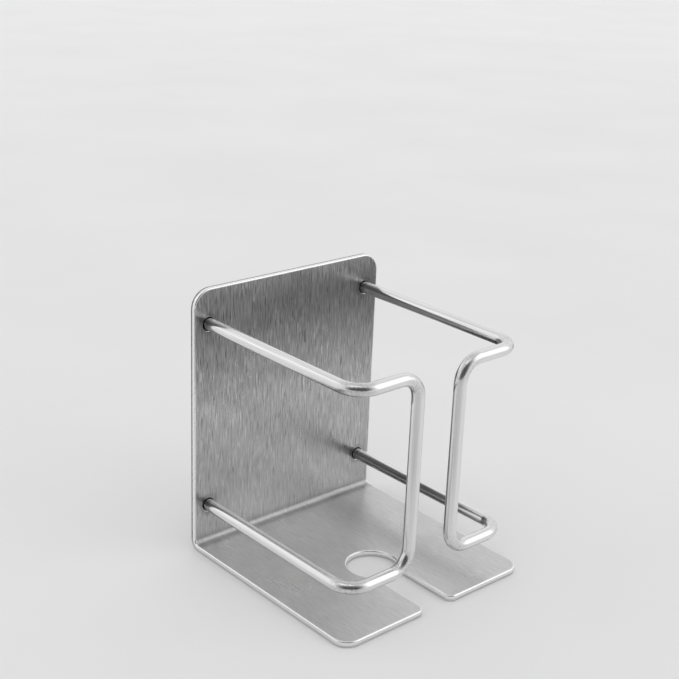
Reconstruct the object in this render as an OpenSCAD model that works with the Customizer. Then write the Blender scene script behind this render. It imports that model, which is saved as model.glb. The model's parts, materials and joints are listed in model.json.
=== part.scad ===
// Razor stand for a wall: a bent sheet-steel bracket with a keyhole in its shelf,
// two guards of bent wire that are welded into the back plate, and a foam pad.
// X runs to the right, -Y away from the wall and +Z up. The origin is the centre
// of the pad's face on the wall. Lengths are in millimetres.

/* [Bracket] */
// Width of the sheet
sheet_w = 72; // [66:0.5:90]
// Thickness of the sheet
sheet_t = 2; // [1.5:0.1:3]
// Height of the back plate, from the underside of the shelf
plate_h = 84.5; // [80:0.5:120]
// Depth of the shelf, from the rear face of the back plate
shelf_d = 72.8; // [72:0.2:90]
// Radius inside the bend between the back plate and the shelf
bend_r = 1.5; // [1:0.5:4]
// Radius of the top corners of the back plate
plate_corner_r = 6; // [2:0.5:10]
// Radius of the front corners of the shelf
shelf_corner_r = 5; // [2:0.5:10]

/* [Keyhole] */
// Diameter of the round hole in the shelf
keyhole_d = 16; // [15:0.5:20]
// Distance from the rear face of the back plate to the centre of the round hole
keyhole_y = 44.5; // [36:0.5:50]
// Width of the slot from the round hole to the front edge
slot_w = 10; // [6:0.5:10]
// Radius of the two corners where the slot meets the front edge
slot_corner_r = 2.5; // [1:0.5:4]

/* [Wire guards] */
// Diameter of the wire
wire_d = 3.8; // [3:0.1:4.5]
// Radius of each bend, to the centre of the wire
wire_bend_r = 6.7; // [5:0.1:8]
// Distance from the middle of the stand to the centre of each side run
side_x = 30.8; // [27:0.1:30.8]
// Distance from the middle of the stand to the centre of each front post
post_x = 8.2; // [7:0.1:11]
// Distance from the rear face of the back plate to the centre of the front posts
guard_reach = 67.6; // [50:0.1:68]
// Height of the upper side runs above the underside of the shelf
upper_z = 73.6; // [60:0.1:74]
// Height of the lower side runs above the underside of the shelf
lower_z = 14.3; // [10:0.1:30]
// Clearance all round the wire in its hole in the back plate
hole_gap = 0.3; // [0.1:0.05:0.4]

/* [Welds] */
// Diameter of the weld behind each wire end
weld_d = 6.4; // [5.6:0.1:7]
// Depth that each weld fills in the back plate
weld_depth = 0.8; // [0.5:0.1:1]
// Height that each weld stands behind the back plate
weld_crown = 0.3; // [0.1:0.05:0.4]

/* [Foam pad] */
// Thickness of the pad
pad_t = 0.8; // [0.5:0.1:3]
// Width of the pad
pad_w = 50; // [30:1:50]
// Height of the pad
pad_h = 68; // [40:1:70]
// Radius of the pad's corners
pad_corner_r = 4; // [1:0.5:8]

/* [Hidden] */
$fn = 96;
// Small overrun that lets a cut pass right through a face
over = 1;
// Outer radius of the bend between the back plate and the shelf
outer_r = bend_r + sheet_t;
// Rear face of the back plate, and the underside of the shelf
plate_y = -pad_t;
shelf_z = -plate_h / 2;
// Centre of each wire's end in the back plate, on the right-hand side
upper_hole = [side_x, shelf_z + upper_z];
lower_hole = [side_x, shelf_z + lower_z];
hole_d = wire_d + 2 * hole_gap;
// The wires stop where the welds begin
wire_end_y = plate_y - weld_depth;
front_y = plate_y - guard_reach;

function unit(v) = v / norm(v);

// A rectangle on the X axis, w wide and l long, whose two far corners are rounded
module round_end(w, l, r) {
    translate([-w / 2, 0]) square([w, l - r]);
    translate([r - w / 2, 0]) square([w - 2 * r, l]);
    for (side = [-1, 1])
        translate([side * (w / 2 - r), l - r]) circle(r = r);
}

// A centred rectangle with four round corners
module round_rect(w, h, r) {
    square([w - 2 * r, h], center = true);
    square([w, h - 2 * r], center = true);
    for (x = [-1, 1], y = [-1, 1])
        translate([x * (w / 2 - r), y * (h / 2 - r)]) circle(r = r);
}

// The sheet seen from its side: Y to the right and Z up, from the plate's rear face
// and the shelf's underside
module sheet_profile() {
    translate([-sheet_t, outer_r]) square([sheet_t, plate_h - outer_r]);
    translate([-shelf_d, 0]) square([shelf_d - outer_r, sheet_t]);
    intersection() {
        translate([-outer_r, outer_r]) difference() {
            circle(r = outer_r);
            circle(r = bend_r);
        }
        translate([-outer_r, 0]) square(outer_r);
    }
}

// The round hole and its slot, seen from above: Y is the distance from the plate's
// rear face, and the slot's mouth flares into the front edge
module keyhole_outline() {
    translate([0, keyhole_y]) circle(d = keyhole_d);
    translate([-slot_w / 2, keyhole_y]) square([slot_w, shelf_d - keyhole_y + over]);
    difference() {
        translate([-slot_w / 2 - slot_corner_r, shelf_d - slot_corner_r])
            square([slot_w + 2 * slot_corner_r, slot_corner_r + over]);
        for (side = [-1, 1])
            translate([side * (slot_w / 2 + slot_corner_r), shelf_d - slot_corner_r])
                circle(r = slot_corner_r);
    }
}

// The holes for one side's two wires, with room behind each for its weld
module wire_holes() {
    for (hole = [upper_hole, lower_hole])
        translate([hole.x, 0, hole.y]) rotate([90, 0, 0]) {
            translate([0, 0, -plate_y - over]) cylinder(d = hole_d, h = sheet_t + 2 * over);
            translate([0, 0, -plate_y - over]) cylinder(d = weld_d, h = weld_depth + over);
        }
}

module bracket() {
    color("silver") difference() {
        intersection() {
            // side view
            translate([0, plate_y, shelf_z]) rotate([90, 0, 90])
                linear_extrude(sheet_w, center = true) sheet_profile();
            // view from above
            translate([0, plate_y, shelf_z]) mirror([0, 1, 0])
                linear_extrude(plate_h) round_end(sheet_w, shelf_d, shelf_corner_r);
            // front view
            translate([0, plate_y, shelf_z]) rotate([90, 0, 0])
                linear_extrude(shelf_d) round_end(sheet_w, plate_h, plate_corner_r);
        }
        translate([0, plate_y, shelf_z - over]) mirror([0, 1, 0])
            linear_extrude(sheet_t + 2 * over) keyhole_outline();
        wire_holes();
        mirror([1, 0, 0]) wire_holes();
    }
}

// A straight length of wire from a to b
module wire_run(a, b) {
    reach = b - a;
    translate(a)
        rotate([0, acos(reach.z / norm(reach)), atan2(reach.y, reach.x)])
            cylinder(d = wire_d, h = norm(reach));
}

// A quarter turn of wire at a corner, from direction u into direction v
module wire_bend(corner, u, v) {
    centre = corner + wire_bend_r * (v - u);
    w = cross(u, v);
    multmatrix([[-v.x, u.x, w.x, centre.x],
                [-v.y, u.y, w.y, centre.y],
                [-v.z, u.z, w.z, centre.z],
                [0, 0, 0, 1]])
        rotate_extrude(angle = 90)
            translate([wire_bend_r, 0]) circle(d = wire_d);
}

// One wire along a line of corners, each bent through a right angle
module bent_wire(points) {
    last = len(points) - 1;
    for (i = [0 : last - 1]) {
        u = unit(points[i + 1] - points[i]);
        wire_run(points[i] + u * (i > 0 ? wire_bend_r : 0),
                 points[i + 1] - u * (i < last - 1 ? wire_bend_r : 0));
    }
    for (i = [1 : last - 1])
        wire_bend(points[i], unit(points[i] - points[i - 1]), unit(points[i + 1] - points[i]));
}

// The right-hand guard: out along the upper run, in, down the post and back
module guard() {
    color("gainsboro") bent_wire([
        [upper_hole.x, wire_end_y, upper_hole.y],
        [upper_hole.x, front_y, upper_hole.y],
        [post_x, front_y, upper_hole.y],
        [post_x, front_y, lower_hole.y],
        [lower_hole.x, front_y, lower_hole.y],
        [lower_hole.x, wire_end_y, lower_hole.y],
    ]);
}

module guard_left() {
    mirror([1, 0, 0]) guard();
}

module guard_right() {
    guard();
}

// A weld behind a wire end: a disc that fills its room, with a low crown behind
module weld(hole) {
    crown_r = (pow(weld_d / 2, 2) + pow(weld_crown, 2)) / (2 * weld_crown);
    color("darkgray") translate([hole.x, wire_end_y, hole.y]) rotate([-90, 0, 0]) {
        cylinder(d = weld_d, h = weld_depth);
        intersection() {
            cylinder(d = weld_d, h = weld_depth + weld_crown);
            translate([0, 0, weld_depth + weld_crown - crown_r]) sphere(r = crown_r);
        }
    }
}

module weld_upper_left() {
    mirror([1, 0, 0]) weld(upper_hole);
}

module weld_upper_right() {
    weld(upper_hole);
}

module weld_lower_left() {
    mirror([1, 0, 0]) weld(lower_hole);
}

module weld_lower_right() {
    weld(lower_hole);
}

module foam_pad() {
    color("whitesmoke") rotate([90, 0, 0])
        linear_extrude(pad_t) round_rect(pad_w, pad_h, pad_corner_r);
}

bracket();
guard_left();
guard_right();
weld_upper_left();
weld_upper_right();
weld_lower_left();
weld_lower_right();
foam_pad();
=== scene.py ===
import json
import math

import bmesh
import bpy
from mathutils import Matrix, Vector, noise


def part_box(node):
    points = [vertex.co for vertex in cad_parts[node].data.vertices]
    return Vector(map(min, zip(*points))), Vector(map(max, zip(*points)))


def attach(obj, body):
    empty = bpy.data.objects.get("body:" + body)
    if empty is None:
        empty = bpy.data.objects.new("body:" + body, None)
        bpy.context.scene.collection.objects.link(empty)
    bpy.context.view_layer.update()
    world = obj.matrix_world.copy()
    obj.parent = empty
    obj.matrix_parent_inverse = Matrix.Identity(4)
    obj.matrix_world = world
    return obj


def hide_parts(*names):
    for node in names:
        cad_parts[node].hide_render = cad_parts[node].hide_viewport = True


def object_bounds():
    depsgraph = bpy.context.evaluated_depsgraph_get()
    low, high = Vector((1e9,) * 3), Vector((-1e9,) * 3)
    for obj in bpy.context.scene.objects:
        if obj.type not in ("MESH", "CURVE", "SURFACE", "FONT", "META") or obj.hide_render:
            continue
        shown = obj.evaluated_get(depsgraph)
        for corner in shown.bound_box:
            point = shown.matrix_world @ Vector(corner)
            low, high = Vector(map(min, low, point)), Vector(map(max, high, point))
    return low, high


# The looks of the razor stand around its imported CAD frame: a bent sheet of brushed
# steel, two wire guards, four welds and a foam pad. Lengths are in metres.

MM = 0.001

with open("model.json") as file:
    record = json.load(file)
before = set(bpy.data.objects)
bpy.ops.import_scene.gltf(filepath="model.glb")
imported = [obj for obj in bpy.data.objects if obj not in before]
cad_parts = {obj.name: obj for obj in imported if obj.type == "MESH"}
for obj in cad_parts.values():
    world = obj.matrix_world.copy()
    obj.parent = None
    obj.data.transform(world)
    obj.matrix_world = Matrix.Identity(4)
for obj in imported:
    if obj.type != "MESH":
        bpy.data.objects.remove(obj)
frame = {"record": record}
cad_low, cad_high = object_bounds()

# ---------------------------------------------------------------- sizes

SHEET_T = 2.0 * MM
BEND_R = 1.5 * MM
PLATE_CORNER_R = 6.0 * MM
SHELF_CORNER_R = 5.0 * MM
SLOT_W = 10.0 * MM
SLOT_CORNER_R = 2.5 * MM
WIRE_R = 1.9 * MM
WIRE_BEND_R = 6.7 * MM
WIRE_HOLE_R = 2.2 * MM
WELD_DEPTH = 0.8 * MM
PAD_CORNER_R = 4.0 * MM

# Rounding of the sheet's outer edges and of its wire holes, the worn band beside both,
# and the corner between the slot and the round hole
EDGE_R = 0.4 * MM
HOLE_EDGE_R = 0.2 * MM
EDGE_BAND = 0.35 * MM
SLOT_INNER_R = 1.2 * MM

# Rounding of the foam pad's edges, and the soft band beside it
PAD_EDGE_R = 0.18 * MM
PAD_EDGE_BAND = 0.6 * MM

# Into how many parts the meshes are cut: the sheet's plate, bend, shelf and half width,
# the pad's half width and half height, a wire or its hole all round, and a wire's bend
PLATE_PARTS = 14
BEND_PARTS = 16
SHELF_PARTS = 12
SHEET_PARTS = 6
PAD_PARTS_X = 6
PAD_PARTS_Z = 8
WIRE_SIDES = 40
WIRE_BEND_STEPS = 20

# Where along each straight run of a wire its rings lie
RUN_SHARES = (0.02, 0.5, 0.98, 1.0)

# A weld's mesh and its ripples: its sides and rings, how high the ripples are, how many
# lie between crown and rim, and how far apart two welds a metre apart lie in the noise
# that makes the ripples uneven
WELD_SIDES = 48
WELD_RINGS = 18
RIPPLE = 0.035 * MM
RIPPLE_COUNT = 3.5
RIPPLE_STRETCH = 1000

# A length that is smaller than any real one here
TINY = 1e-7

sheet_low, sheet_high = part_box("bracket")
guard_low, guard_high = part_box("guard_right")
weld_low, weld_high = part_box("weld_upper_right")
pad_low, pad_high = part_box("foam_pad")
keyhole = next(m for m in frame["record"]["mounts"] if m["name"] == "keyhole")
keyhole_r = keyhole["dims"]["r_mm"] * MM
keyhole_y = keyhole["pos_m"][1]

side_x = guard_high.x - WIRE_R
post_x = guard_low.x + WIRE_R
guard_front_y = guard_low.y + WIRE_R
wire_end_y = guard_high.y
upper_z = guard_high.z - WIRE_R
lower_z = guard_low.z + WIRE_R
weld_r = (weld_high.x - weld_low.x) / 2

# The flat sheet: u runs across it, v down the plate and then out along the shelf,
# and w through it, from the rear and underside to the front and top
bend_outer_r = BEND_R + SHEET_T
bend_centre_y = sheet_high.y - bend_outer_r
bend_centre_z = sheet_low.z + bend_outer_r
bend_start = sheet_high.z - bend_centre_z
bend_length = (BEND_R + SHEET_T / 2) * math.pi / 2
bend_end = bend_start + bend_length
half_w = sheet_high.x
plate_front_y = sheet_high.y - SHEET_T
sheet_l = bend_end + bend_centre_y - sheet_low.y
keyhole_v = bend_end + bend_centre_y - keyhole_y
upper_v = sheet_high.z - upper_z
lower_v = sheet_high.z - lower_z


# ---------------------------------------------------------------- mesh helpers

def arc(centre, radius, start, end, steps):
    """Points along a circular arc in the plane, from one angle to another in degrees."""
    points = []
    for i in range(steps + 1):
        a = math.radians(start + (end - start) * i / steps)
        points.append(Vector(centre) + radius * Vector((math.cos(a), math.sin(a))))
    return points


def circle_hole(centre, radius, steps):
    """A closed clockwise circle, so that the material lies on its left."""
    return arc(centre, radius, 0, -360, steps)[:-1]


def offset_directions(loop):
    """For each point of a closed loop, the way out of the material on its left."""
    ways = []
    for i, point in enumerate(loop):
        before = (point - loop[i - 1]).normalized()
        after = (loop[(i + 1) % len(loop)] - point).normalized()
        along = (before + after).normalized()
        ways.append(Vector((along.y, -along.x)) / max(along.dot(after), 0.5))
    return ways


def add_loop(bm, loop, profile, wear_layer):
    """Rings of vertices along a closed loop: one ring for each (inset, w, wear)."""
    ways = offset_directions(loop)
    rings = []
    for inset, w, wear in profile:
        ring = []
        for point, way in zip(loop, ways):
            at = point - way * inset
            vert = bm.verts.new((at.x, at.y, w))
            vert[wear_layer] = wear
            ring.append(vert)
        rings.append(ring)
    for below, above in zip(rings, rings[1:]):
        for i in range(len(loop)):
            j = (i + 1) % len(loop)
            bm.faces.new((below[i], below[j], above[j], above[i]))
    return rings[0], rings[-1]


def ring_edges(bm, ring):
    """The edges between neighbours of a closed ring of vertices."""
    return [bm.edges.get((ring[i - 1], ring[i])) for i in range(len(ring))]


def fill(bm, rings):
    """A flat face bounded by the first ring, with the other rings as holes."""
    edges = [edge for ring in rings for edge in ring_edges(bm, ring)]
    bmesh.ops.triangle_fill(bm, use_beauty=True, use_dissolve=False, edges=edges)


def cut_along(bm, axis, places):
    """Cuts every face along planes across one axis, so that the mesh can bend there."""
    normal = Vector((0, 0, 0))
    normal[axis] = 1
    for place in places:
        geometry = bm.verts[:] + bm.edges[:] + bm.faces[:]
        at = normal * place
        bmesh.ops.bisect_plane(bm, geom=geometry, dist=TINY, plane_co=at, plane_no=normal)


def rounded_edge(thickness, radius, band, steps, worn=1.0, step_in=0.0, step_depth=0.0):
    """The (inset, w, wear) profile of a cut edge from the rear face to the front face.
    The wear is worn at mid height, 0.6 of that where the rounding meets the faces, and 0
    beyond a band beside it. Near the rear the edge may stand step_in further into the
    material, step_depth deep."""
    profile = [(step_in + radius + band, 0, 0)]
    for i in range(steps + 1):
        a = math.pi / 2 * i / steps
        inset = step_in + radius * (1 - math.sin(a))
        w = radius * (1 - math.cos(a))
        profile.append((inset, w, worn * (0.6 + 0.4 * i / steps)))
    if step_in:
        profile += [(step_in, step_depth, worn), (0, step_depth, worn)]
    for i in range(steps + 1):
        a = math.pi / 2 * i / steps
        inset = radius * (1 - math.cos(a))
        w = thickness - radius * (1 - math.sin(a))
        profile.append((inset, w, worn * (1 - 0.4 * i / steps)))
    profile.append((radius + band, thickness, 0))
    return profile


def new_object(name, bm, materials):
    """A new object in the scene from a bmesh."""
    mesh = bpy.data.meshes.new(name)
    bm.to_mesh(mesh)
    bm.free()
    for material in materials:
        mesh.materials.append(material)
    made = bpy.data.objects.new(name, mesh)
    bpy.context.scene.collection.objects.link(made)
    return made


def new_piece(name, bm, materials):
    """A new object from a bmesh, with its faces turned outward and shaded smooth."""
    bmesh.ops.recalc_face_normals(bm, faces=bm.faces[:])
    piece = new_object(name, bm, materials)
    piece.data.shade_smooth()
    return piece


# ---------------------------------------------------------------- shader helpers

def add(tree, kind, inputs=None, **settings):
    """A new shader node; inputs holds constants, or sockets to link to."""
    made = tree.nodes.new(kind)
    for name, value in settings.items():
        setattr(made, name, value)
    for name, value in (inputs or {}).items():
        if isinstance(value, bpy.types.NodeSocket):
            tree.links.new(value, made.inputs[name])
        else:
            made.inputs[name].default_value = value
    return made


def stretched_noise(tree, vector, stretch, detail=2.0, roughness=0.5, offset=0.0):
    """Noise whose grain is stretch times finer than a metre along each axis. Different
    offsets give unrelated noise."""
    inputs = {"Vector": vector, "Scale": stretch, "Location": (offset, offset, offset)}
    moved = add(tree, "ShaderNodeMapping", inputs).outputs[0]
    inputs = {"Vector": moved, "Scale": 1.0, "Detail": detail, "Roughness": roughness}
    return add(tree, "ShaderNodeTexNoise", inputs).outputs["Fac"]


def remap(tree, value, low, high, to_low, to_high):
    """value from low..high to to_low..to_high, clamped."""
    inputs = {"Value": value, "From Min": low, "From Max": high, "To Min": to_low, "To Max": to_high}
    return add(tree, "ShaderNodeMapRange", inputs).outputs["Result"]


def from_noise(tree, value, to_low, to_high):
    """Noise, which mostly lies between 0.3 and 0.7, spread over to_low..to_high."""
    return remap(tree, value, 0.3, 0.7, to_low, to_high)


def math_node(tree, operation, a, b=0.0):
    return add(tree, "ShaderNodeMath", {0: a, 1: b}, operation=operation).outputs[0]


def plus(tree, a, b):
    return math_node(tree, "ADD", a, b)


def minus(tree, a, b):
    return math_node(tree, "SUBTRACT", a, b)


def times(tree, a, b):
    return math_node(tree, "MULTIPLY", a, b)


def absolute(tree, value):
    return math_node(tree, "ABSOLUTE", value)


def vector_node(tree, operation, a, b=(0, 0, 0), output="Vector"):
    return add(tree, "ShaderNodeVectorMath", {0: a, 1: b}, operation=operation).outputs[output]


def dot(tree, a, b):
    return vector_node(tree, "DOT_PRODUCT", a, b, "Value")


def parts_of(tree, vector):
    """A vector's three parts, named X, Y and Z."""
    return add(tree, "ShaderNodeSeparateXYZ", {0: vector}).outputs


def mix_value(tree, factor, a, b):
    """The number a where factor is 0, and b where it is 1."""
    return add(tree, "ShaderNodeMix", {0: factor, 2: a, 3: b}).outputs[0]


def mix_colour(tree, factor, a, b):
    """The colour a where factor is 0, and b where it is 1."""
    return add(tree, "ShaderNodeMix", {0: factor, 6: a, 7: b}, data_type="RGBA").outputs[2]


def grey(value, warmth=0.0):
    """A neutral colour, a little warmer for a positive warmth."""
    return (value * (1 + warmth), value, value * (1 - warmth), 1.0)


def new_material(name):
    """A node material: (material, its tree, its Principled shader)."""
    material = bpy.data.materials.new(name)
    material.use_nodes = True
    tree = material.node_tree
    return material, tree, tree.nodes["Principled BSDF"]


def attribute(tree, name, output):
    """A value that each mesh carries. flat is the place on the piece before it was bent or
    moved. wear is how worn an edge is, how bent a wire is, or how near a weld's rim."""
    return add(tree, "ShaderNodeAttribute", attribute_name=name).outputs[output]


def set_surface(tree, shader, colour, roughness, height, strength, depth):
    """Links a shader's colour and roughness, and its bumps: they stand height times depth
    out of the surface, and strength is how much of that shows."""
    tree.links.new(colour, shader.inputs["Base Color"])
    tree.links.new(roughness, shader.inputs["Roughness"])
    inputs = {"Height": height, "Strength": strength, "Distance": depth}
    bump = add(tree, "ShaderNodeBump", inputs)
    tree.links.new(bump.outputs[0], shader.inputs["Normal"])


# ---------------------------------------------------------------- materials

# The colours that steel takes beside a weld, and the widths of their rings
STRAW = (0.52, 0.42, 0.27, 1.0)
BLUE = (0.24, 0.27, 0.38, 1.0)
STRAW_W = 3.0 * MM
BLUE_W = 1.2 * MM

# The width of the ring of painted shade round a wire hole, how ragged all these rings are, and how
# far from the plate the wires carry painted shade where they enter it
HOLE_SHADE_W = 1.8 * MM
RAGGED = 0.4 * MM
ROOT_SHADE_L = 2.6 * MM

# The painted shade across the shelf beside the bend, a dark line that stands in for a dark
# reflection there: how far its middle is from the bend, half the width of its core, and half its
# full width
CREASE_SHADE_V = 0.9 * MM
CREASE_SHADE_CORE = 0.2 * MM
CREASE_SHADE_HALF_W = 1.8 * MM

# How far the noise of the streaks strays to either side of its middle
STREAK_SPAN = 0.15

# How much of the sheet's thickness is torn and darkened with painted shade: up to the first share
# fully, and from the second not at all. The line between them wavers by the third.
TORN_SHADE_TO = 0.38
CLEAN_FROM = 0.5
TORN_SHADE_RAGGED = 0.05 * MM


def weld_tints_and_hole_shade(tree, flat, colour):
    """Adds the straw and blue rings that the welds leave on the sheet's rear face, and a ring of
    painted shade round each wire hole in its front face, where the wire enters it."""
    parts = parts_of(tree, flat)
    u = absolute(tree, parts["X"])
    place = add(tree, "ShaderNodeCombineXYZ", {"X": u, "Y": parts["Y"]}).outputs[0]
    from_upper = vector_node(tree, "DISTANCE", place, (side_x, upper_v, 0), "Value")
    from_lower = vector_node(tree, "DISTANCE", place, (side_x, lower_v, 0), "Value")
    ragged = stretched_noise(tree, flat, (500, 500, 0), detail=2.0, offset=7.7)
    near = math_node(tree, "MINIMUM", from_upper, from_lower)
    near = plus(tree, near, from_noise(tree, ragged, -RAGGED, RAGGED))
    rear = remap(tree, parts["Z"], 0.1 * SHEET_T, 0.3 * SHEET_T, 1.0, 0.0)
    straw = times(tree, rear, remap(tree, near, weld_r, weld_r + STRAW_W, 0.75, 0.0))
    blue = times(tree, rear, remap(tree, near, weld_r, weld_r + BLUE_W, 0.8, 0.0))
    front = remap(tree, parts["Z"], 0.7 * SHEET_T, 0.9 * SHEET_T, 0.0, 1.0)
    # Painted shade: the front face darkens round each wire hole, where the wire enters the plate.
    hole = remap(tree, near, WIRE_HOLE_R, WIRE_HOLE_R + HOLE_SHADE_W, 0.6, 0.0)
    colour = mix_colour(tree, times(tree, front, hole), colour, grey(0.16))
    colour = mix_colour(tree, straw, colour, STRAW)
    return mix_colour(tree, blue, colour, BLUE)


def brushed_sheet_material():
    """Brushed stainless sheet: short streaks along v, crisp scratches and soft smudges.
    The streaks are strongest at the plate's top. The shelf is painted paler, as painted light on its
    upward face, and carries a line of painted shade beside the bend. The bend itself is rougher."""
    material, tree, shader = new_material("brushed_sheet")
    flat = attribute(tree, "flat", "Vector")
    wear = attribute(tree, "wear", "Fac")
    v = parts_of(tree, flat)["Y"]
    contrast = remap(tree, v, 0.0, bend_start, 1.4, 0.45)
    contrast = times(tree, contrast, remap(tree, v, bend_start, bend_end, 1.0, 0.9))
    fine = stretched_noise(tree, flat, (2700, 170, 0), detail=2.5, roughness=0.6)
    broad = stretched_noise(tree, flat, (600, 30, 0), detail=2.0, offset=3.7)
    smudge = stretched_noise(tree, flat, (45, 38, 30), detail=3.0, offset=9.1)
    light = stretched_noise(tree, flat, (2600, 190, 0), detail=1.0, offset=5.3)
    dark = stretched_noise(tree, flat, (2400, 160, 0), detail=1.0, offset=6.9)

    streak = plus(tree, times(tree, fine, 0.86), times(tree, broad, 0.14))
    spread = times(tree, minus(tree, streak, 0.5), contrast)
    tone = remap(tree, spread, -STREAK_SPAN, STREAK_SPAN, 0.0, 1.0)
    colour = mix_colour(tree, tone, grey(0.34), grey(0.64))
    light = times(tree, remap(tree, light, 0.66, 0.74, 0.0, 1.0), contrast)
    colour = mix_colour(tree, light, colour, grey(0.80))
    dark = times(tree, remap(tree, dark, 0.64, 0.72, 0.0, 1.0), contrast)
    colour = mix_colour(tree, dark, colour, grey(0.2))
    # Painted light: the shelf's colour is paled, standing in for the extra light that its upward
    # face takes.
    shelf_painted_light = remap(tree, v, bend_start, bend_end, 0.0, 0.27)
    colour = mix_colour(tree, shelf_painted_light, colour, grey(1.0))
    worn = remap(tree, plus(tree, wear, times(tree, fine, 0.4)), 0.35, 0.75, 0.0, 1.0)
    colour = mix_colour(tree, worn, colour, grey(0.78))
    # Painted shade: a dark line across the shelf just beyond the bend, standing in for the plate's
    # dark reflection there.
    from_crease_shade = absolute(tree, minus(tree, v, bend_end + CREASE_SHADE_V))
    crease_shade = remap(tree, from_crease_shade, CREASE_SHADE_CORE, CREASE_SHADE_HALF_W, 0.28, 0.0)
    colour = mix_colour(tree, crease_shade, colour, grey(0.2))
    colour = weld_tints_and_hole_shade(tree, flat, colour)

    rough = remap(tree, spread, -STREAK_SPAN, STREAK_SPAN, 0.36, 0.26)
    from_bend = absolute(tree, minus(tree, v, (bend_start + bend_end) / 2))
    rough = plus(tree, rough, remap(tree, from_bend, bend_length / 3, bend_length, 0.14, 0.0))
    rough = plus(tree, rough, remap(tree, smudge, 0.35, 0.7, -0.04, 0.08))
    set_surface(tree, shader, colour, rough, spread, 0.5, 0.06 * MM)
    tangent = add(tree, "ShaderNodeTangent", direction_type="UV_MAP", uv_map="grain")
    tree.links.new(tangent.outputs[0], shader.inputs["Tangent"])
    shader.inputs["Metallic"].default_value = 1.0
    shader.inputs["Anisotropic"].default_value = 0.6
    return material


def cut_edge_material():
    """The sheet's cut edges: bright and smooth near the front face, where the punch entered, and
    greyer and rougher near the rear, where the metal tore. That dark rear band is also painted
    shade, and it is weaker on the shelf's edges, as painted reflection of the bright floor."""
    material, tree, shader = new_material("cut_edge")
    flat = attribute(tree, "flat", "Vector")
    parts = parts_of(tree, flat)
    lines = stretched_noise(tree, flat, (260, 260, 5200), detail=2.0)
    nicks = stretched_noise(tree, flat, (1100, 1100, 500), detail=3.0, offset=2.2)
    w = plus(tree, parts["Z"], from_noise(tree, nicks, -TORN_SHADE_RAGGED, TORN_SHADE_RAGGED))
    # Painted shade: the rear band of the edge is darkened beyond a torn surface's own grey.
    torn_and_shade = remap(tree, w, TORN_SHADE_TO * SHEET_T, CLEAN_FROM * SHEET_T, 1.0, 0.0)
    # Painted light: the dark band weakens across the bend towards the shelf.
    torn_and_shade = times(tree, torn_and_shade, remap(tree, parts["Y"], bend_start, bend_end, 1.0, 0.4))
    nicked = remap(tree, nicks, 0.35, 0.7, 0.0, 1.0)
    clean_colour = mix_colour(tree, nicked, grey(0.93), grey(0.87))
    nicked = remap(tree, nicks, 0.35, 0.65, 0.0, 1.0)
    torn_shade_colour = mix_colour(tree, nicked, grey(0.17), grey(0.26))
    colour = mix_colour(tree, torn_and_shade, clean_colour, torn_shade_colour)
    rough = plus(tree, from_noise(tree, lines, 0.14, 0.24), times(tree, torn_and_shade, 0.18))
    set_surface(tree, shader, colour, rough, lines, 0.25, 0.03 * MM)
    shader.inputs["Metallic"].default_value = 1.0
    return material


def wire_material():
    """Satin, nearly polished wire: faint drawn lines, a rougher, mottled skin in the bends, and
    painted shade at the roots, where the wires enter the plate."""
    material, tree, shader = new_material("satin_wire")
    flat = attribute(tree, "flat", "Vector")
    bent = attribute(tree, "wear", "Fac")
    drawn = stretched_noise(tree, flat, (3000, 3000, 60), detail=2.0)
    skin = stretched_noise(tree, flat, (2600, 2600, 2000), detail=2.0, roughness=0.6, offset=4.4)
    mottle = times(tree, remap(tree, skin, 0.4, 0.6, 0.0, 1.0), bent)
    colour = mix_colour(tree, from_noise(tree, drawn, 0.0, 1.0), grey(0.76), grey(0.88))
    colour = mix_colour(tree, mottle, colour, grey(0.6))
    depth = parts_of(tree, add(tree, "ShaderNodeTexCoord").outputs["Object"])["Y"]
    # Painted shade: the wire darkens over its last few millimetres before the plate.
    root = remap(tree, depth, plate_front_y - ROOT_SHADE_L, plate_front_y, 0.0, 0.7)
    colour = mix_colour(tree, root, colour, grey(0.25))
    rough = plus(tree, from_noise(tree, drawn, 0.13, 0.2), times(tree, bent, 0.05))
    rough = plus(tree, rough, times(tree, mottle, 0.08))
    height = plus(tree, times(tree, drawn, 0.4), times(tree, mottle, 0.15))
    set_surface(tree, shader, colour, rough, height, 0.3, 0.03 * MM)
    shader.inputs["Metallic"].default_value = 1.0
    return material


def weld_material():
    """Weld metal: grainy grey steel, straw towards its rim and blue where it meets the
    sheet."""
    material, tree, shader = new_material("weld_metal")
    flat = attribute(tree, "flat", "Vector")
    rim = attribute(tree, "wear", "Fac")
    grain = stretched_noise(tree, flat, (1800, 1800, 1800), detail=4.0, roughness=0.6)
    uneven = stretched_noise(tree, flat, (420, 420, 420), detail=2.0, offset=1.3)
    rim = plus(tree, rim, from_noise(tree, uneven, -0.2, 0.2))
    tint = mix_colour(tree, remap(tree, rim, 0.6, 0.95, 0.0, 0.85), grey(0.58), STRAW)
    tint = mix_colour(tree, remap(tree, rim, 0.9, 1.1, 0.0, 1.0), tint, BLUE)
    colour = mix_colour(tree, from_noise(tree, grain, 0.0, 0.5), tint, grey(0.3))
    set_surface(tree, shader, colour, from_noise(tree, grain, 0.26, 0.5), grain, 0.4, 0.05 * MM)
    shader.inputs["Metallic"].default_value = 1.0
    return material


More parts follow.
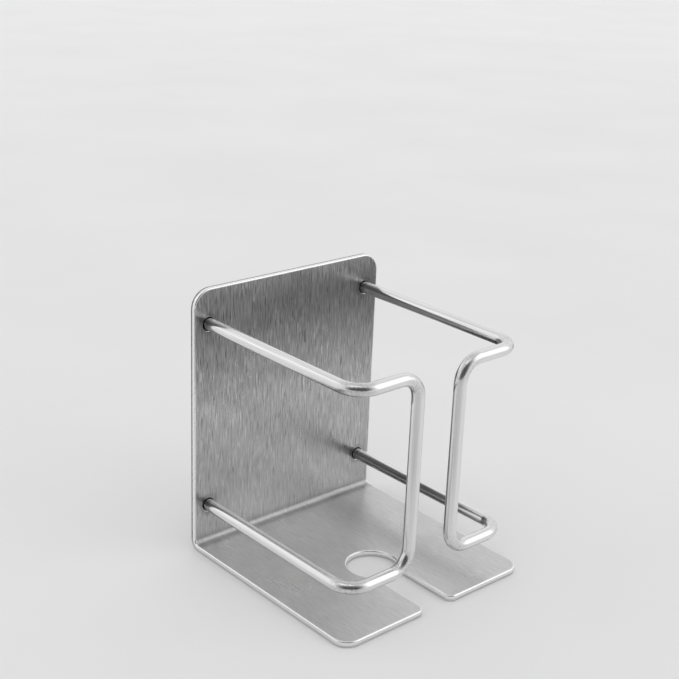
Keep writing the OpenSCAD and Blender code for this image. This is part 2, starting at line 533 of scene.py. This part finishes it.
def foam_material():
    """Off-white closed-cell foam tape with fine pores."""
    material, tree, shader = new_material("foam_tape")
    flat = attribute(tree, "flat", "Vector")
    cells = add(tree, "ShaderNodeTexVoronoi", {"Vector": flat, "Scale": 2600.0})
    clouds = stretched_noise(tree, flat, (160, 160, 160), detail=3.0)
    pore = remap(tree, cells.outputs["Distance"], 0.0, 0.45, 1.0, 0.0)
    cloudy = from_noise(tree, clouds, 0.0, 1.0)
    colour = mix_colour(tree, cloudy, grey(0.78, 0.015), grey(0.86, 0.01))
    colour = mix_colour(tree, times(tree, pore, 0.5), colour, grey(0.55, 0.02))
    height = minus(tree, times(tree, clouds, 0.5), pore)
    set_surface(tree, shader, colour, from_noise(tree, clouds, 0.75, 0.9), height, 0.5, 0.06 * MM)
    return material


# ---------------------------------------------------------------- bent sheet

def sheet_outline():
    """The edge of the flat sheet, anticlockwise, with the keyhole open to the front."""
    inner = Vector((SLOT_W / 2 + SLOT_INNER_R, 0))
    inner.y = math.sqrt((keyhole_r + SLOT_INNER_R) ** 2 - inner.x ** 2)
    turn = math.degrees(math.atan2(inner.y, inner.x))
    inner.y += keyhole_v
    plate_x = half_w - PLATE_CORNER_R
    shelf = (half_w - SHELF_CORNER_R, sheet_l - SHELF_CORNER_R)
    mouth = (SLOT_W / 2 + SLOT_CORNER_R, sheet_l - SLOT_CORNER_R)
    right = arc((plate_x, PLATE_CORNER_R), PLATE_CORNER_R, -90, 0, steps=16)
    right += arc(shelf, SHELF_CORNER_R, 0, 90, steps=14)
    right += arc(mouth, SLOT_CORNER_R, 90, 180, steps=10)
    right += arc(inner, SLOT_INNER_R, 180, 180 + turn, steps=5)
    right += arc((0, keyhole_v), keyhole_r, turn, -90, steps=32)[1:]
    left = [Vector((-p.x, p.y)) for p in reversed(right[:-1])]
    return right + left


def fold(flat):
    """Where a point of the flat sheet lies once it is bent, and the angle turned there."""
    turned = min(max((flat.y - bend_start) / bend_length, 0), 1) * math.pi / 2
    up = max(bend_start - flat.y, 0)
    out = max(flat.y - bend_end, 0)
    radius = bend_outer_r - flat.z
    y = bend_centre_y + radius * math.cos(turned) - out
    z = bend_centre_z - radius * math.sin(turned) + up
    return Vector((flat.x, y, z)), turned


def fold_direction(way, turned):
    """A direction in the flat sheet, turned with the sheet."""
    y = -way.y * math.sin(turned) - way.z * math.cos(turned)
    z = -way.y * math.cos(turned) + way.z * math.sin(turned)
    return Vector((way.x, y, z))


def make_sheet(face_material, edge_material):
    """The bent sheet, built flat and then folded. The wire holes are widened at the rear
    for their welds. The UV map follows the flat sheet, for the direction of its grain."""
    bm = bmesh.new()
    wear = bm.verts.layers.float.new("wear")
    flat = bm.verts.layers.float_vector.new("flat")
    grain = bm.loops.layers.uv.new("grain")
    edge = rounded_edge(SHEET_T, EDGE_R, EDGE_BAND, steps=5)
    widened = weld_r - WIRE_HOLE_R
    hole_edge = rounded_edge(
        SHEET_T, HOLE_EDGE_R, EDGE_BAND, steps=3, worn=0.3, step_in=widened, step_depth=WELD_DEPTH
    )
    loops = [add_loop(bm, sheet_outline(), edge, wear)]
    for x in (-side_x, side_x):
        for v in (upper_v, lower_v):
            hole = circle_hole((x, v), WIRE_HOLE_R, WIRE_SIDES)
            loops.append(add_loop(bm, hole, hole_edge, wear))
    fill(bm, [rear for rear, _ in loops])
    fill(bm, [front for _, front in loops])
    shelf_l = sheet_l - bend_end
    cut_along(bm, 1, [bend_start + bend_length * i / BEND_PARTS for i in range(BEND_PARTS + 1)])
    cut_along(bm, 1, [bend_start * i / PLATE_PARTS for i in range(1, PLATE_PARTS)])
    cut_along(bm, 1, [bend_end + shelf_l * i / SHELF_PARTS for i in range(1, SHELF_PARTS)])
    cut_along(bm, 0, [half_w * i / SHEET_PARTS for i in range(1 - SHEET_PARTS, SHEET_PARTS)])
    bm.normal_update()
    bmesh.ops.recalc_face_normals(bm, faces=bm.faces[:])
    ways = []
    for vert in bm.verts:
        at = vert.co.copy()
        vert[flat] = at
        way = vert.normal.copy()
        if at.z < TINY or at.z > SHEET_T - TINY:
            way = Vector((0, 0, 1 if at.z > SHEET_T / 2 else -1))
        vert.co, turned = fold(at)
        ways.append(fold_direction(way, turned))
    for face in bm.faces:
        heights = [loop.vert[flat].z for loop in face.loops]
        on_face = max(heights) - min(heights) < TINY
        face.material_index = 0 if on_face else 1
        for loop in face.loops:
            at = loop.vert[flat]
            loop[grain].uv = (at.x + at.z * 0.5, at.y + at.z * 0.5)
    piece = new_piece("bracket_sheet", bm, [face_material, edge_material])
    piece.data.normals_split_custom_set_from_vertices(ways)
    return piece


# ---------------------------------------------------------------- wire guards

def wire_stations(corners):
    """Rings along a wire with round corners: centre, two axes across it, length so far,
    and how bent it is there, from 0 on the straights to 1 in the middle of a bend."""
    along = (corners[1] - corners[0]).normalized()
    side = (corners[2] - corners[1]).normalized()
    other = along.cross(side)
    at = corners[0].copy()
    length = 0.0
    stations = [(at.copy(), side.copy(), other.copy(), length, 0.0)]
    for i in range(1, len(corners)):
        last = i == len(corners) - 1
        stop = corners[i] - (Vector() if last else along * WIRE_BEND_R)
        run = (stop - at).length
        for share in RUN_SHARES:
            place = at.lerp(stop, share)
            stations.append((place, side.copy(), other.copy(), length + run * share, 0.0))
        length += run
        at = stop
        if last:
            break
        ahead = (corners[i + 1] - corners[i]).normalized()
        centre = at + ahead * WIRE_BEND_R
        axis = along.cross(ahead)
        for step in range(1, WIRE_BEND_STEPS + 1):
            turn = Matrix.Rotation(math.pi / 2 * step / WIRE_BEND_STEPS, 3, axis)
            bent = math.sin(math.pi * step / WIRE_BEND_STEPS)
            place = centre + turn @ (at - centre)
            length += WIRE_BEND_R * math.pi / 2 / WIRE_BEND_STEPS
            stations.append((place, turn @ side, turn @ other, length, bent))
        side = turn @ side
        other = turn @ other
        at = place
        along = ahead
    return stations


def make_guard(name, mirror, material):
    """One guard: from its upper wire hole forward, inward, down, outward and back."""
    corners = [
        Vector((side_x, wire_end_y, upper_z)),
        Vector((side_x, guard_front_y, upper_z)),
        Vector((post_x, guard_front_y, upper_z)),
        Vector((post_x, guard_front_y, lower_z)),
        Vector((side_x, guard_front_y, lower_z)),
        Vector((side_x, wire_end_y, lower_z)),
    ]
    bm = bmesh.new()
    wear = bm.verts.layers.float.new("wear")
    flat = bm.verts.layers.float_vector.new("flat")
    rings = []
    for place, side, other, length, bent in wire_stations(corners):
        ring = []
        for i in range(WIRE_SIDES):
            a = 2 * math.pi * i / WIRE_SIDES
            way = side * math.cos(a) + other * math.sin(a)
            at = place + way * WIRE_R
            vert = bm.verts.new((at.x * mirror, at.y, at.z))
            vert[wear] = bent
            vert[flat] = Vector((math.cos(a) * WIRE_R, math.sin(a) * WIRE_R, length))
            ring.append(vert)
        rings.append(ring)
    for near, far in zip(rings, rings[1:]):
        for i in range(WIRE_SIDES):
            j = (i + 1) % WIRE_SIDES
            bm.faces.new((near[i], near[j], far[j], far[i]))
    bm.faces.new(rings[0])
    bm.faces.new(rings[-1])
    return new_piece(name, bm, [material])


# ---------------------------------------------------------------- welds

def make_weld(name, x, z, material):
    """A plug weld behind a wire end: a low dome with uneven ripples that wind outward
    and fade at its crown and its rim."""
    bm = bmesh.new()
    wear = bm.verts.layers.float.new("wear")
    flat = bm.verts.layers.float_vector.new("flat")
    crown = weld_high.y - sheet_high.y
    base_y = weld_low.y
    rows = []
    for i in range(WELD_RINGS + 1):
        row = []
        share = i / WELD_RINGS
        radius = weld_r * share
        dome = (crown - RIPPLE) * (1 - share ** 2)
        for k in range(WELD_SIDES if i else 1):
            a = 2 * math.pi * k / WELD_SIDES
            noise_x = x * RIPPLE_STRETCH + share * math.cos(a)
            noise_z = z * RIPPLE_STRETCH + share * math.sin(a)
            at = Vector((noise_x, noise_z, 0))
            turns = share * RIPPLE_COUNT - k / WELD_SIDES + 0.5 * noise.noise(at * 1.7)
            wave = RIPPLE * math.cos(2 * math.pi * turns) * min(share * 4, 1) * (1 - share ** 4)
            wave *= 0.6 + 0.8 * noise.noise(at * 2.3)
            y = sheet_high.y + max(dome + wave, 0)
            vert = bm.verts.new((x + radius * math.cos(a), y, z + radius * math.sin(a)))
            vert[wear] = share
            row.append(vert)
        rows.append(row)
    base = []
    for k in range(WELD_SIDES):
        a = 2 * math.pi * k / WELD_SIDES
        vert = bm.verts.new((x + weld_r * math.cos(a), base_y, z + weld_r * math.sin(a)))
        vert[wear] = 1.0
        base.append(vert)
    for k in range(WELD_SIDES):
        j = (k + 1) % WELD_SIDES
        bm.faces.new((rows[0][0], rows[1][k], rows[1][j]))
        for inner, outer in zip(rows[1:], rows[2:]):
            bm.faces.new((inner[k], inner[j], outer[j], outer[k]))
        bm.faces.new((rows[-1][k], rows[-1][j], base[j], base[k]))
    bm.faces.new(base)
    for vert in bm.verts:
        vert[flat] = vert.co - Vector((x, 0, z))
    return new_piece(name, bm, [material])


# ---------------------------------------------------------------- foam pad

def make_pad(material):
    """Foam tape between plate and wall: flat on both faces, with softly rounded edges."""
    bm = bmesh.new()
    wear = bm.verts.layers.float.new("wear")
    flat = bm.verts.layers.float_vector.new("flat")
    half_x = pad_high.x
    half_z = pad_high.z
    r = PAD_CORNER_R
    outline = arc((half_x - r, half_z - r), r, 0, 90, steps=10)
    outline += arc((-half_x + r, half_z - r), r, 90, 180, steps=10)
    outline += arc((-half_x + r, -half_z + r), r, 180, 270, steps=10)
    outline += arc((half_x - r, -half_z + r), r, 270, 360, steps=10)
    profile = rounded_edge(pad_high.y - pad_low.y, PAD_EDGE_R, PAD_EDGE_BAND, steps=4)
    plate_side, wall_side = add_loop(bm, outline, profile, wear)
    fill(bm, [plate_side])
    fill(bm, [wall_side])
    cut_along(bm, 0, [half_x * i / PAD_PARTS_X for i in range(1 - PAD_PARTS_X, PAD_PARTS_X)])
    cut_along(bm, 1, [half_z * i / PAD_PARTS_Z for i in range(1 - PAD_PARTS_Z, PAD_PARTS_Z)])
    for vert in bm.verts:
        at = vert.co.copy()
        vert[flat] = at
        vert.co = Vector((at.x, pad_low.y + at.z, at.y))
    return new_piece("foam_mounting_pad", bm, [material])


# ---------------------------------------------------------------- the pieces

wire_look = wire_material()
weld_look = weld_material()

sheet = make_sheet(brushed_sheet_material(), cut_edge_material())
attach(sheet, "root")
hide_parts("bracket")

for side_name, mirror in (("left", -1), ("right", 1)):
    guard = make_guard(f"guard_wire_{side_name}", mirror, wire_look)
    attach(guard, "root")
    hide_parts(f"guard_{side_name}")
    for level, height in (("upper", upper_z), ("lower", lower_z)):
        weld = make_weld(f"weld_bead_{level}_{side_name}", mirror * side_x, height, weld_look)
        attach(weld, "root")
        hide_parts(f"weld_{level}_{side_name}")

pad = make_pad(foam_material())
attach(pad, "root")
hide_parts("foam_pad")


# ---------------------------------------------------------------- floor, light, camera

# The camera looks from the front left and a little above. The stand sits low and a
# little to the right in the picture, so the camera aims to the left of it and above it.
VIEW_AZIMUTH = -41.78
VIEW_ELEVATION = 20.30
VIEW_ROLL = 2.25
VIEW_DISTANCE = 0.3923
AIM_RIGHT = -7.1 * MM
AIM_UP = 28.0 * MM
LENS_MM = 69.6
CLIP_NEAR = 0.01
CLIP_FAR = 50.0

FLOOR_R = 12.0

# How bright the studio is all round and overhead, and the backdrop that the camera sees
STUDIO = 0.89
OVERHEAD = 0.62
BACKDROP = 0.85

# The studio's soft boxes: azimuth, elevation, half width and half height in degrees,
# and brightness
SOFT_BOXES = {
    "key": (46, 28, 20, 27, 1.37),
    "rear": (-145, 30, 5, 15, 1.11),
    "top": (-60, 62, 18, 18, 1.4),
}

# The studio is dim where the camera stands: by this share within the first angle of it
# in degrees, and not at all beyond the second
DIM_SHARE = 0.95
DIM_INNER = 30
DIM_OUTER = 56

# The slanted card: its lower and upper heights above the floor, how far it reaches to
# each side, how far it stays from the plate and behind the posts, and how much further
# back its shade begins for each metre to the right
SLANT_LOW = 40 * MM
SLANT_HIGH = 63 * MM
SLANT_REACH = 130 * MM
SLANT_FROM_PLATE = 0.2 * SHEET_T
SLANT_FROM_POSTS = 5 * MM
SLANT_SKEW = 0.12

# Its shade begins at the first distance from the card's rear edge and grows to the share
# that follows at the second distance from its front edge. Over the last distance to the
# front edge it pales to the last share of itself.
SLANT_BEGINS = 3 * MM
SLANT_MOST = 0.9
SLANT_FULL = 10 * MM
SLANT_PALING = 11 * MM
SLANT_PALEST = 0.3

# The floor card: how far it reaches, how high it lies, and how far from the frame's
# origin its shade begins and is full. It is dark towards two azimuths, the rear and the
# camera's: each has an inner and an outer angle beside it in degrees, and a darkness.
FLOOR_CARD_REACH = 0.8
FLOOR_CARD_LIFT = 1 * MM
FLOOR_CARD_FROM = 50 * MM
FLOOR_CARD_FULL = 160 * MM
FLOOR_CARD_SHADES = ((165, 25, 50, 0.85), (VIEW_AZIMUTH, 0, 55, 0.3))


def towards(azimuth, elevation):
    """The direction at an azimuth, 0 in front and 90 to the right, and an elevation."""
    a = math.radians(azimuth)
    e = math.radians(elevation)
    return Vector((math.sin(a) * math.cos(e), -math.cos(a) * math.cos(e), math.sin(e)))


def share_beside(tree, way, middle, inner, outer, most):
    """most where a direction is within inner degrees of a middle one, falling to 0 at
    outer degrees."""
    close = dot(tree, way, middle)
    outer_cosine = math.cos(math.radians(outer))
    inner_cosine = math.cos(math.radians(inner))
    return remap(tree, close, outer_cosine, inner_cosine, 0.0, most)


def make_floor():
    """A pale floor that the shelf stands on, faintly clouded, and painted paler further out as
    painted light.
    """
    material, tree, shader = new_material("pale_floor")
    where = add(tree, "ShaderNodeTexCoord").outputs["Object"]
    clouds = stretched_noise(tree, where, (9, 9, 9), detail=3.0)
    far = vector_node(tree, "LENGTH", where, output="Value")
    # Painted light: the floor is painted paler further from the stand, standing in for light that
    # falls off there.
    far = remap(tree, far, 0.2, 1.5, 0.0, 0.7)
    clouds_and_painted_light = plus(tree, from_noise(tree, clouds, 0.0, 0.3), far)
    colour = mix_colour(tree, clouds_and_painted_light, grey(0.82), grey(0.92))
    tree.links.new(colour, shader.inputs["Base Color"])
    shader.inputs["Roughness"].default_value = 0.9
    bm = bmesh.new()
    bmesh.ops.create_circle(bm, cap_ends=True, segments=96, radius=FLOOR_R)
    floor = new_piece("floor", bm, [material])
    floor.location.z = cad_low.z


def dark_card(name, corners, darkness):
    """A dark card that shows only in reflections, and only on the side from which its
    corners run anticlockwise. darkness(tree) gives how much of it is there, 0 to 1."""
    material, tree, shader = new_material(name)
    shader.inputs["Base Color"].default_value = grey(0.03)
    shader.inputs["Roughness"].default_value = 1.0
    behind = add(tree, "ShaderNodeNewGeometry").outputs["Backfacing"]
    there = times(tree, darkness(tree), minus(tree, 1.0, behind))
    clear = add(tree, "ShaderNodeBsdfTransparent").outputs[0]
    both = add(tree, "ShaderNodeMixShader", {0: there, 1: clear, 2: shader.outputs[0]})
    tree.links.new(both.outputs[0], tree.nodes["Material Output"].inputs["Surface"])
    bm = bmesh.new()
    bm.faces.new([bm.verts.new(corner) for corner in corners])
    card = new_object(name, bm, [material])
    card.visible_camera = False
    card.visible_diffuse = False
    card.visible_shadow = False
    card.visible_transmission = False


def make_slanted_card():
    """A card that rises from the plate to the posts, where a dark razor would stand. It
    gives the brushed plate its darker upper half. It is clear at the plate, darkens
    towards the posts, and pales again along its front edge."""
    rear_y = sheet_high.y - SHEET_T - SLANT_FROM_PLATE
    front_y = guard_front_y + SLANT_FROM_POSTS
    low = cad_low.z + SLANT_LOW
    high = cad_low.z + SLANT_HIGH

    def darkness(tree):
        parts = parts_of(tree, add(tree, "ShaderNodeNewGeometry").outputs["Position"])
        skewed = plus(tree, parts["Y"], times(tree, parts["X"], -SLANT_SKEW))
        begin_y = rear_y - SLANT_BEGINS
        rising = remap(tree, skewed, begin_y, front_y + SLANT_FULL, 0.0, SLANT_MOST)
        paling = remap(tree, parts["Y"], front_y + SLANT_PALING, front_y, 1.0, SLANT_PALEST)
        return times(tree, rising, paling)

    left = [(-SLANT_REACH, rear_y, low), (-SLANT_REACH, front_y, high)]
    right = [(SLANT_REACH, front_y, high), (SLANT_REACH, rear_y, low)]
    dark_card("slanted_card", left + right, darkness)


def make_floor_card():
    """A card just above the floor, dark behind the stand and a little on the camera's
    side. It gives the bright wires their dark outlines."""

    def darkness(tree):
        where = add(tree, "ShaderNodeNewGeometry").outputs["Position"]
        level = vector_node(tree, "MULTIPLY", where, (1, 1, 0))
        way = vector_node(tree, "NORMALIZE", level)
        shade = 0.0
        for azimuth, inner, outer, most in FLOOR_CARD_SHADES:
            part = share_beside(tree, way, towards(azimuth, 0), inner, outer, most)
            shade = plus(tree, shade, part)
        far = vector_node(tree, "LENGTH", level, output="Value")
        far = remap(tree, far, FLOOR_CARD_FROM, FLOOR_CARD_FULL, 0.0, 1.0)
        return times(tree, shade, far)

    reach = FLOOR_CARD_REACH
    z = cad_low.z + FLOOR_CARD_LIFT
    corners = [(-reach, -reach, z), (reach, -reach, z), (reach, reach, z), (-reach, reach, z)]
    dark_card("floor_card", corners, darkness)


def inside_box(tree, way, azimuth, elevation, half_width, half_height):
    """1 where a direction falls within a distant soft box, and 0 outside it. Its edges
    are soft by 0.15 of its half width and half height, inward and outward."""
    centre = towards(azimuth, elevation)
    side = Vector((0, 0, 1)).cross(centre).normalized()
    up = centre.cross(side)
    ahead = dot(tree, way, centre)
    inside = remap(tree, ahead, 0.0, 0.01, 0.0, 1.0)
    for axis, half in ((side, half_width), (up, half_height)):
        off = math_node(tree, "DIVIDE", dot(tree, way, axis), ahead)
        edge = math.tan(math.radians(half))
        part = remap(tree, absolute(tree, off), edge * 0.85, edge * 1.15, 1.0, 0.0)
        inside = times(tree, inside, part)
    return inside


def make_world():
    """A pale studio, darker overhead, with distant soft boxes. Reflections show it dim
    where the camera stands, and the camera sees a plain pale backdrop in its place."""
    world = bpy.data.worlds.new("studio")
    bpy.context.scene.world = world
    world.use_nodes = True
    tree = world.node_tree
    way = add(tree, "ShaderNodeTexCoord").outputs["Generated"]
    shade = remap(tree, dot(tree, way, (0, 0, 1)), 0.6, 1.0, STUDIO, OVERHEAD)
    for azimuth, elevation, half_width, half_height, brightness in SOFT_BOXES.values():
        inside = inside_box(tree, way, azimuth, elevation, half_width, half_height)
        shade = mix_value(tree, inside, shade, brightness)
    camera_way = towards(VIEW_AZIMUTH, VIEW_ELEVATION)
    dim = share_beside(tree, way, camera_way, DIM_INNER, DIM_OUTER, DIM_SHARE)
    ray = add(tree, "ShaderNodeLightPath").outputs
    shade = mix_value(tree, times(tree, dim, ray["Is Glossy Ray"]), shade, 0.0)
    shade = mix_value(tree, ray["Is Camera Ray"], shade, BACKDROP)
    tree.links.new(shade, tree.nodes["Background"].inputs["Color"])


def make_camera():
    """The camera of the matched view, placed from the stand's centre."""
    roll = math.radians(VIEW_ROLL)
    back = towards(VIEW_AZIMUTH, VIEW_ELEVATION)
    right = Vector((0, 0, 1)).cross(back).normalized()
    up = back.cross(right)
    centre = (cad_low + cad_high) / 2
    place = centre + back * VIEW_DISTANCE + right * AIM_RIGHT + up * AIM_UP
    tilted_right = math.cos(roll) * right + math.sin(roll) * up
    tilted_up = math.cos(roll) * up - math.sin(roll) * right
    turn = Matrix((tilted_right, tilted_up, back)).transposed()
    data = bpy.data.cameras.new("camera")
    data.lens = LENS_MM
    data.clip_start = CLIP_NEAR
    data.clip_end = CLIP_FAR
    camera = bpy.data.objects.new("camera", data)
    camera.matrix_world = Matrix.Translation(place) @ turn.to_4x4()
    bpy.context.scene.collection.objects.link(camera)
    bpy.context.scene.camera = camera


make_floor()
make_slanted_card()
make_floor_card()
make_world()
make_camera()
bpy.context.scene.view_settings.view_transform = "Standard"
